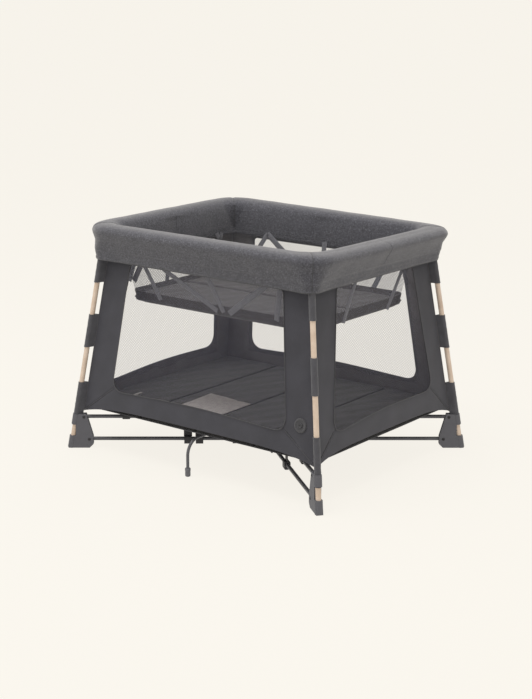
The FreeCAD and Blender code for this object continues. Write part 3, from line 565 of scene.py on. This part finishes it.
def window_edge(side, count):
    """The opening's edge, anticlockwise from its lower left corner: four straight runs whose ends curve
    into the next by a circle's offset. Each run starts at the middle of a corner's curve."""
    low, high = SILLS[side]
    bends = (CURVE, CURVE, TOP_CURVE, TOP_CURVE)
    order = ((-1, low), (1, high), (1, HEAD_Z), (-1, HEAD_Z))
    corners = np.array([[window_end(side, e, z), z] for e, z in order])
    runs = []
    for k in range(4):
        start, stop = corners[k], corners[(k + 1) % 4]
        length = np.linalg.norm(stop - start)
        along = (stop - start) / length
        inner = np.array([-along[1], along[0]])
        first, last = bends[k], bends[(k + 1) % 4]
        skip, stop_short = (r * (1 - math.sqrt(0.5)) for r in (first, last))
        e = skip + closer_at_ends(count) * (length - skip - stop_short)
        radius = np.where(e < length / 2, first, last)
        near = np.minimum(e, length - e)
        dip = np.sqrt(np.clip(radius**2 - (radius - near) ** 2, 0, None))
        lift = np.where(near < radius, radius - dip, 0)
        if k == 0:
            lift = lift + 0.010 * np.sin(np.pi * e / length) ** 1.5  # the sill bows up a little
        runs.append(start + e[:, None] * along + lift[:, None] * inner)
    return np.concatenate(runs)


def border_edge(side, count):
    """The border's outer edge, in step with the opening's: up beside each leg, and arched along the foot."""
    ease = closer_at_ends(count)
    foot = leg_line(side, WALL_FOOT) - TUBE_GAP
    a = -foot + 2 * foot * ease
    bottom = np.stack([a, WALL_FOOT + WALL_ARCH * (1 - np.abs(a / foot) ** 5)], axis=-1)
    z = WALL_FOOT + (WALL_TOP - WALL_FOOT) * ease
    right = np.stack([leg_line(side, z) - TUBE_GAP, z], axis=-1)
    head = leg_line(side, WALL_TOP) - TUBE_GAP
    top = np.stack([head - 2 * head * ease, np.full(count, WALL_TOP)], axis=-1)
    z = WALL_TOP - (WALL_TOP - WALL_FOOT) * ease
    left = np.stack([-leg_line(side, z) + TUBE_GAP, z], axis=-1)
    return np.concatenate([bottom, right, top, left])


RUN = 56  # points along each of a border's four runs
WALL_BODY = {"front": "leg_front_left", "left": "leg_front_left",
             "right": "leg_front_right", "back": "leg_back_left"}
NET_UNDER, NET_OVER = 0.010, 0.012  # how far the net reaches behind the border
SKIN_THICK = 0.0013  # the cloth and its lining together
# Which way each wall faces out: the faces that look the other way take the lining.
OUT_OF = {"front": (0, -1, 0), "back": (0, 1, 0), "left": (-1, 0, 0), "right": (1, 0, 0)}


for side in ("front", "back", "left", "right"):
    outer, inner = border_edge(side, RUN), window_edge(side, RUN)
    mix = np.linspace(0, 1, 15)[:, None, None]
    flat = outer[None] * (1 - mix) + inner[None] * mix
    a, z = flat[..., 0], flat[..., 1]
    # The mitres are stitched seams, a folded strip binds the opening, and the cloth is a little slack.
    seam = np.zeros_like(a)
    for corner in (0, RUN):
        line = flat[:, corner : corner + 1]
        gap = np.hypot(*(flat - line).transpose(2, 0, 1))
        seam += bell(gap, 0.0035)
    rim = np.linalg.norm(flat - inner[None], axis=-1)
    binding = 0.5 + 0.5 * np.tanh((0.009 - rim) / 0.0012)
    ripple = np.sin(a * 21 + z * 13) * np.sin(z * 17 - a * 9) + 0.5 * np.sin(a * 47 - z * 31)
    slack = 0.0010 * ripple * np.sin(np.pi * mix[..., 0]) * (z < HEAD_Z)
    inward = 0.0012 + 0.0014 * seam - 0.0006 * binding - slack
    # The cloth and its lining are one closed skin: out across the border, and back a little further in.
    rows = [(a, z, inward), (a[::-1], z[::-1], inward[::-1] + SKIN_THICK), (a[:1], z[:1], inward[:1])]
    both = np.concatenate([wall_place(side, *row) for row in rows])
    border = skin("wall_" + side, both, wall_cloth, loop=True)
    border.data.materials.append(lining)
    facing = np.empty(len(border.data.polygons) * 3)
    border.data.polygons.foreach_get("normal", facing)
    inner_faces = (facing.reshape(-1, 3) @ np.array(OUT_OF[side]) < 0).astype(np.int32)
    border.data.polygons.foreach_set("material_index", inner_faces)
    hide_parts(side + "_wall")

    # Binding round the opening, and the raised edge of each mitre's seam.
    cords = [(cord_grid(wall_place(side, inner[:, 0], inner[:, 1], -0.0002), 0.0015, True), True, False)]
    for corner in (0, RUN):
        line = wall_place(side, a[1:-1, corner], z[1:-1, corner], 0.0012)
        cords.append((cord_grid(line, 0.0011), True, True))
    piping = joined("window_piping_" + side, piping_cloth, *cords)

    low, high = min(SILLS[side]) - NET_UNDER, HEAD_Z + NET_OVER
    z = np.linspace(low, high, 34)[:, None]
    ends = [window_end(side, e, z) + e * NET_OVER for e in (-1, 1)]
    across = np.linspace(0, 1, 48)[None]
    a = ends[0] + (ends[1] - ends[0]) * across
    belly = 0.004 * np.sin(np.pi * across) * np.sin(np.pi * (z - low) / (high - low))
    pane = skin("window_net_" + side, wall_place(side, a, z + 0 * a, 0.0030 + belly), window_net)
    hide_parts(side + "_mesh")
    for piece in (border, piping, pane):
        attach(piece, WALL_BODY[side])
        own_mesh(piece)

# ---- Leg sleeves -----------------------------------------------------------------------------------
# Tunnels of the wall cloth close round each tube in three places and leave it bare between. Each is
# sewn to the corner where two walls meet, so it is drop-shaped, and it puckers along its length.
SLEEVES = ((0.0815, 0.2285), (0.3500, 0.4605), (0.5690, 0.7000))
TUBE_ROOM, TAIL_TIP = 0.0106, 0.0222  # a sleeve's radius round the tube, and how far its sewn tip reaches
# Painted light: the sleeves are the wall cloth, but this copy of it is lighter than the walls' to stand in
# for the light falling on them.
sleeve_cloth_painted_light = plain_weave("plain_weave_polyester_sleeve_painted_light", "3F3F44", "4B4B51", 0.9, 25)
angle = np.linspace(0, ROUND, 40, endpoint=False)[None]
from_tail = np.abs((angle - math.atan2(-1, -1) + math.pi) % ROUND - math.pi)
for corner, (sx, sy) in CORNERS.items():
    grids = []
    for low, high in SLEEVES:
        z = np.linspace(low, high, 30)[:, None]
        share = (z - low) / (high - low)
        hem = bell(z - low, 0.004) + bell(high - z, 0.004)
        pucker = np.sin(z * 260 + 2.0 * np.sin(angle * 2 + z * 30)) * (0.6 + 0.4 * np.sin(z * 71 + angle * 3))
        reach = TUBE_ROOM + 0.00035 * pucker * np.sin(np.pi * share) + 0.0004 * hem
        # Two straight sides run from where they touch the round to the tip.
        touch = np.arccos(reach / (TAIL_TIP + 0.0006 * np.sin(z * 90)))
        radius = np.where(from_tail < touch, reach / np.cos(np.minimum(touch - from_tail, touch)), reach)
        x = (FOOT[0] - RISE[0] * z + radius * np.cos(angle)) * sx
        y = (FOOT[1] - RISE[1] * z + radius * np.sin(angle)) * sy
        grids.append((np.stack([x, y, np.broadcast_to(z, x.shape)], axis=-1), True, True))
    sleeve = joined("leg_sleeves_" + corner, sleeve_cloth_painted_light, *grids)
    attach(sleeve, "leg_" + corner)

# ---- Floor cloth -----------------------------------------------------------------------------------
# Coated polyester under the mattress, stretched between the walls over the links. It creases along the
# mattress folds and is drawn up between the boards, so it is shaped as four strips, one to a board.
floor_cloth = plain_weave("coated_polyester_floor", "323135", "3D3C40")
FLOOR_Z, BOARD_KEEP = 0.1440, 0.22  # its height, and the share of its width that it keeps when folded
FLOOR = FOOT - RISE * FLOOR_Z - 0.019
FOLD_X = 0.2357  # the fold between an inner and an outer board
STRIPS = {"left_outer": (-FLOOR[0], -FOLD_X), "left_inner": (-FOLD_X, 0.0), "right_inner": (0.0, FOLD_X),
          "right_outer": (FOLD_X, FLOOR[0])}
for name, (start, stop) in STRIPS.items():
    u, v = np.linspace(0, 1, 20)[:, None], np.linspace(-1, 1, 56)[None]
    x, y = start + (stop - start) * u + 0 * v, v * FLOOR[1] + 0 * u
    sag = 0.0008 * np.sin(np.pi * u) * np.cos(np.pi * v / 2) + 0.0003 * np.sin(31 * x) * np.sin(17 * y)
    sheet = skin("floor_cloth_" + name, np.stack([x, y, FLOOR_Z - sag], axis=-1), floor_cloth)
    cloth = sheet.modifiers.new("cloth", "SOLIDIFY")
    cloth.thickness, cloth.offset = 0.0012, 0
    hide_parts("floor_panel")
    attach(sheet, "mattress_" + name)
    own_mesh(sheet)

# ---- Mattress --------------------------------------------------------------------------------------
# Four boards padded with thin foam in one cover of brushed polyester, which folds between them. The
# cover creases near the folds, and a blank care patch is sewn on top of one board.
mattress_cloth = plain_weave("brushed_polyester_charcoal_brown", "1B191A", "252223", 0.95, 90)


def pad(name, low, high, made, edge=0.006, steps=(40, 90), crease=0.0):
    """A flat pad whose top and bottom meet in a rounded edge: its half thickness falls to nothing at the
    outline as a quarter ellipse. crease adds shallow folds on top."""
    low, high = np.array(low, float), np.array(high, float)
    middle, half = (low + high) / 2, (high - low) / 2
    even = [np.linspace(-1, 1, n) for n in steps]
    w = [np.sin(e * math.pi / 2) * 0.35 + e * 0.65 for e in even]
    x, y = np.meshgrid(w[0] * half[0], w[1] * half[1], indexing="ij")
    inset = np.minimum(half[0] - np.abs(x), half[1] - np.abs(y))
    round_off = np.sqrt(np.clip(1 - (1 - np.clip(inset / edge, 0, 1)) ** 2, 0, 1))
    gx, gy = x + middle[0], y + middle[1]
    fold = np.sin(gx * 38 + 3 * np.sin(gy * 11)) * np.sin(gy * 23 + gx * 7)
    fold += 0.6 * np.sin(gx * 90 - gy * 41)
    top = middle[2] + half[2] * round_off - crease * (1 + fold) * round_off
    under = middle[2] - half[2] * round_off
    above = np.stack([gx, gy, top], axis=-1)
    below = np.stack([gx, gy, under], axis=-1)[::-1]
    return joined(name, made, (above, False, False), (below, False, False))


for name in ("left_outer", "left_inner", "right_inner", "right_outer"):
    low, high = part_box("mattress_panel_" + name)
    board = pad("mattress_board_" + name, low, high, mattress_cloth, crease=0.0007)
    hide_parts("mattress_panel_" + name)
    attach(board, "mattress_" + name)
    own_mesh(board)
MATTRESS_TOP = high[2]

patch_cloth, tree, base, where = finish("printed_care_cloth_blank", 0.8)
tone = ramp(tree, noise(tree, where, 12, 2), (0.35, "A09A9A"), (0.65, "B6B0AF"))
tree.links.new(tone, base.inputs["Base Color"])
bump(tree, base, noise(tree, where, 2.2), 0.15)
PATCH_SUNK = 0.0026  # how far a patch's underside goes into the padding


def patch(name, corners, z, made, thick=0.0010, steps=14):
    """A thin cloth patch over four corners in plan, a little waved, with its edge turned down."""
    u, v = np.linspace(0, 1, steps)[:, None, None], np.linspace(0, 1, steps)[None, :, None]
    p = [np.array(c, float) for c in corners]
    plan = (p[0] * (1 - u) + p[1] * u) * (1 - v) + (p[3] * (1 - u) + p[2] * u) * v
    u, v = u[..., 0], v[..., 0]
    edge = np.minimum(np.minimum(u, 1 - u), np.minimum(v, 1 - v))
    wave = 0.0004 * np.sin(plan[..., 0] * 70 + plan[..., 1] * 45)
    lift = thick * (0.35 + 0.65 * np.clip(edge * 9, 0, 1)) + wave
    top = np.concatenate([plan, (z + lift)[..., None]], axis=-1)
    under = np.concatenate([plan, np.full(lift.shape, z - PATCH_SUNK)[..., None]], axis=-1)
    rims = [np.concatenate([g[0, :-1], g[:-1, -1], g[-1, :0:-1], g[:0:-1, 0]]) for g in (top, under)]
    return joined(name, made, (top, False, False), (under[::-1], False, False), (np.stack(rims), True, False))


care = patch("care_patch", [(-0.178, -0.242), (-0.004, -0.237), (-0.004, -0.084), (-0.187, -0.067)],
             MATTRESS_TOP, patch_cloth)
tag = patch("side_tag", [(-0.381, -0.254), (-0.372, -0.254), (-0.373, -0.208), (-0.382, -0.208)],
            MATTRESS_TOP, patch_cloth, 0.0020)
for piece, body in ((care, "mattress_left_inner"), (tag, "mattress_left_outer")):
    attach(piece, body)
    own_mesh(piece)

# ---- Bassinet insert -------------------------------------------------------------------------------
# A shallow cot of dark net hung inside the rails, boxed in cloth along its lower edge, with a padded
# floor in two halves. Webbing straps run down it from the rail to its bottom edge.
insert_net = net("knitted_net_dark_grey", "5A5A60", 0.06, 0.34)
insert_cloth = plain_weave("brushed_polyester_insert", "363334", "413E40", 0.95, 40)
RIM, BASE = np.array([0.3845, 0.3000]), np.array([0.3650, 0.2570])  # half length and half width
RIM_Z, BASE_Z, INSERT_BEND = 0.655, 0.50, 0.045
INSERT_LOW, INSERT_RIM, BOX_TOP, BOX_ROUND = 0.4990, 0.6760, 0.5400, 0.018
NET_LAP = 0.004  # how far the net goes down behind the boxing


def insert_half(z):
    """The insert's half length and half width at each height."""
    share = ((np.asarray(z) - BASE_Z) / (RIM_Z - BASE_Z))[..., None]
    return BASE + (RIM - BASE) * share


def insert_half_side(section, side, end):
    """Half a side of the insert from a section of (height, inset) pairs."""
    z, inset = np.array(section).T
    half = insert_half(z) - inset[:, None]
    along, across = (half[:, 0], half[:, 1]) if side in ("front", "back") else (half[:, 1], half[:, 0])
    plan = half_side(along, across, np.full(len(z), INSERT_BEND), 24)
    return placed(plan, z, side, end)


def insert_side(name, section, made, side, solid):
    """A whole side of the insert: two halves joined at the middle, as a solid or as one open sheet."""
    left, right = (insert_half_side(section, side, e) for e in (-1, 1))
    return skin(name, np.concatenate([left[::-1], right[1:]]), made, loop=solid, caps=solid)


for side in ("front", "back", "left", "right"):
    upper = [(z, 0.0) for z in np.linspace(BOX_TOP - NET_LAP, INSERT_RIM, 12)]
    veil = insert_side("insert_net_" + side, upper, insert_net, side, False)
    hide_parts("bassinet_sides")
    turn = np.linspace(0, math.pi / 2, 8)
    box = [(BOX_TOP, -0.0012), (BOX_TOP - 0.008, -0.0014)]
    box += [(INSERT_LOW + BOX_ROUND * (1 - math.sin(t)), BOX_ROUND * (1 - math.cos(t)) - 0.0012)
            for t in turn]
    box += [(INSERT_LOW, 0.05), (INSERT_LOW + 0.0014, 0.05), (INSERT_LOW + 0.0014, BOX_ROUND)]
    box += [(BOX_TOP - 0.008, 0.0012), (BOX_TOP, 0.0010)]
    boxing = insert_side("insert_boxing_" + side, box, insert_cloth, side, True)
    for piece in (veil, boxing):
        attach(piece, WALL_BODY[side])
        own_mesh(piece)

for side in ("front", "back"):
    low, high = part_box("bassinet_pad_" + side)
    top = (high[0], high[1], high[2] + 0.012)  # plumper than its board
    cushion = pad("insert_cushion_" + side, low, top, insert_cloth, 0.014, (90, 40), 0.0010)
    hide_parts("bassinet_pad_" + side)
    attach(cushion, "bassinet_" + side)
    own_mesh(cushion)

# Straps: each is two places on a side, (along, height), from the rail down to the boxing.
STRAPS = {
    "front": [((-0.240, 0.662), (0.004, 0.520)), ((0.262, 0.662), (0.052, 0.518)),
              ((-0.022, 0.662), (0.030, 0.518)), ((-0.285, 0.662), (-0.234, 0.522)),
              ((-0.270, 0.662), (-0.338, 0.574)), ((0.285, 0.662), (0.240, 0.522))],
    "back": [((-0.236, 0.664), (-0.300, 0.545)), ((-0.236, 0.664), (-0.050, 0.545)),
             ((0.012, 0.664), (0.024, 0.522)), ((0.262, 0.662), (0.060, 0.518)),
             ((0.285, 0.662), (0.234, 0.522))],
    "right": [((-0.040, 0.662), (-0.090, 0.502)), ((0.234, 0.662), (0.158, 0.502)),
              ((0.205, 0.662), (0.262, 0.566)), ((-0.205, 0.662), (-0.262, 0.566))],
}
STRAPS["left"] = STRAPS["right"]
STRAP_HALF, STRAP_THICK, STRAP_OFF = 0.0095, 0.0013, 0.0016
for side, lines in STRAPS.items():
    grids = []
    for start, stop in lines:
        start, stop = np.array(start), np.array(stop)
        way = (stop - start) / np.linalg.norm(stop - start)
        cross = np.array([-way[1], way[0]])
        t = np.linspace(0, 1, 16)[:, None, None]
        edge = np.array([-1, -0.9, 0, 0.9, 1, 0.9, 0, -0.9])[None, :, None]
        lift = np.array([0.5, 1, 1, 1, 0.5, 0, 0, 0])[None]
        flat = start + (stop - start) * t + cross * edge * STRAP_HALF
        half = insert_half(flat[..., 1])
        b = half[..., 1 if side in ("front", "back") else 0] + STRAP_OFF + STRAP_THICK * lift
        grids.append((placed(np.stack([flat[..., 0], b], axis=-1), flat[..., 1], side, 1), True, True))
    straps = joined("insert_straps_" + side, grey_webbing, *grids)
    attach(straps, WALL_BODY[side])
    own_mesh(straps)

# ---- Snap patch ------------------------------------------------------------------------------------
# A round stitched patch with a press stud, low on the front wall beside the near leg.
SNAP_A, SNAP_Z = 0.413, 0.246


def disc(name, rings, made):
    """Rings of (radius, height off the wall) round the snap's middle, as a closed turned shape."""
    radius, lift = (np.array([r[i] for r in rings])[:, None] for i in (0, 1))
    a = SNAP_A + radius * np.cos(angle)
    z = SNAP_Z + radius * np.sin(angle)
    return skin(name, wall_place("front", a, z, -lift + 0 * a), made, loop=True)


stitched = [(0.0, 0.0006), (0.0105, 0.0006), (0.0150, 0.0008), (0.0170, 0.0024), (0.0200, 0.0026),
            (0.0220, 0.0012), (0.0225, -0.0010), (0.0, -0.0010)]
pressed = [(0.0, 0.0020), (0.0030, 0.0021), (0.0042, 0.0038), (0.0068, 0.0040), (0.0082, 0.0022),
           (0.0085, 0.0004), (0.0, 0.0004)]
snap = disc("snap_patch", stitched, piping_cloth)
stud = disc("snap_stud", pressed, dark_nylon)
for piece in (snap, stud):
    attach(piece, "leg_front_left")
    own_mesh(piece)

# ---- Stage, light and camera -----------------------------------------------------------------------
# A plain pale floor and even studio light: the pale room itself, a large soft box above and in front, and
# a weak one at the left. The floor glows a little less than the room and takes a faint contact shadow.
PALE, GLOW = "F7F3EB", 0.94
scene = bpy.context.scene
scene.view_settings.view_transform = "Standard"
world = bpy.data.worlds.new("studio")
scene.world = world
world.use_nodes = True
world.node_tree.nodes["Background"].inputs["Color"].default_value = linear(PALE)
world.node_tree.nodes["Background"].inputs["Strength"].default_value = 1.0

stage_paint = bpy.data.materials.new("pale_studio_floor")
stage_paint.use_nodes = True
tree = stage_paint.node_tree
tree.nodes.remove(tree.nodes["Principled BSDF"])
glow = add(tree, "ShaderNodeEmission", {"Color": linear(PALE), "Strength": GLOW})
matt = add(tree, "ShaderNodeBsdfDiffuse", {"Color": [0.06, 0.06, 0.057, 1]})
both = add(tree, "ShaderNodeAddShader", {0: glow.outputs[0], 1: matt.outputs[0]})
tree.links.new(both.outputs[0], tree.nodes["Material Output"].inputs["Surface"])
REACH = 160.0  # the floor runs on past where the eye can follow it
x, y = np.meshgrid([-REACH, REACH], [-REACH, REACH])
skin("studio_floor", np.stack([x, y, 0 * x], axis=-1), stage_paint)


def soft_box(name, place, aim, size, power):
    """A square area light at a place, turned towards its aim."""
    data = bpy.data.lights.new(name, "AREA")
    data.shape, data.size, data.energy = "SQUARE", size, power
    lamp = bpy.data.objects.new(name, data)
    lamp.location = place
    way = Vector(aim) - Vector(place)
    lamp.rotation_euler = way.to_track_quat("-Z", "Y").to_euler()
    scene.collection.objects.link(lamp)


MIDDLE = (0, 0, 0.4)
soft_box("soft_box_above", (0.1, -0.9, 4.2), MIDDLE, 2.4, 112)
soft_box("soft_box_left", (-3.2, -3.0, 2.2), MIDDLE, 2.4, 18)

# The camera looks at the middle from the front right, a little above it, and is rolled by a third of a
# degree. The shift is a share of the frame's width.
TURN, TILT, DISTANCE, AIM = math.radians(37.6), math.radians(14.3), 4.88, Vector((0, 0, 0.345))
LENS, SENSOR, SHIFT, LEAN = 99.0677, 36.0, (-0.0022556, -0.0024436), math.radians(0.35)
back = Vector((math.sin(TURN) * math.cos(TILT), -math.cos(TURN) * math.cos(TILT), math.sin(TILT)))
camera = bpy.data.objects.new("camera", bpy.data.cameras.new("camera"))
camera.data.sensor_fit, camera.data.sensor_width = "HORIZONTAL", SENSOR
camera.data.lens = LENS
camera.data.shift_x, camera.data.shift_y = SHIFT
camera.location = AIM + back * DISTANCE
camera.rotation_euler = (back.to_track_quat("Z", "Y") @ Quaternion((0, 0, 1), LEAN)).to_euler()
camera.data.clip_end = 400
scene.collection.objects.link(camera)
scene.camera = camera
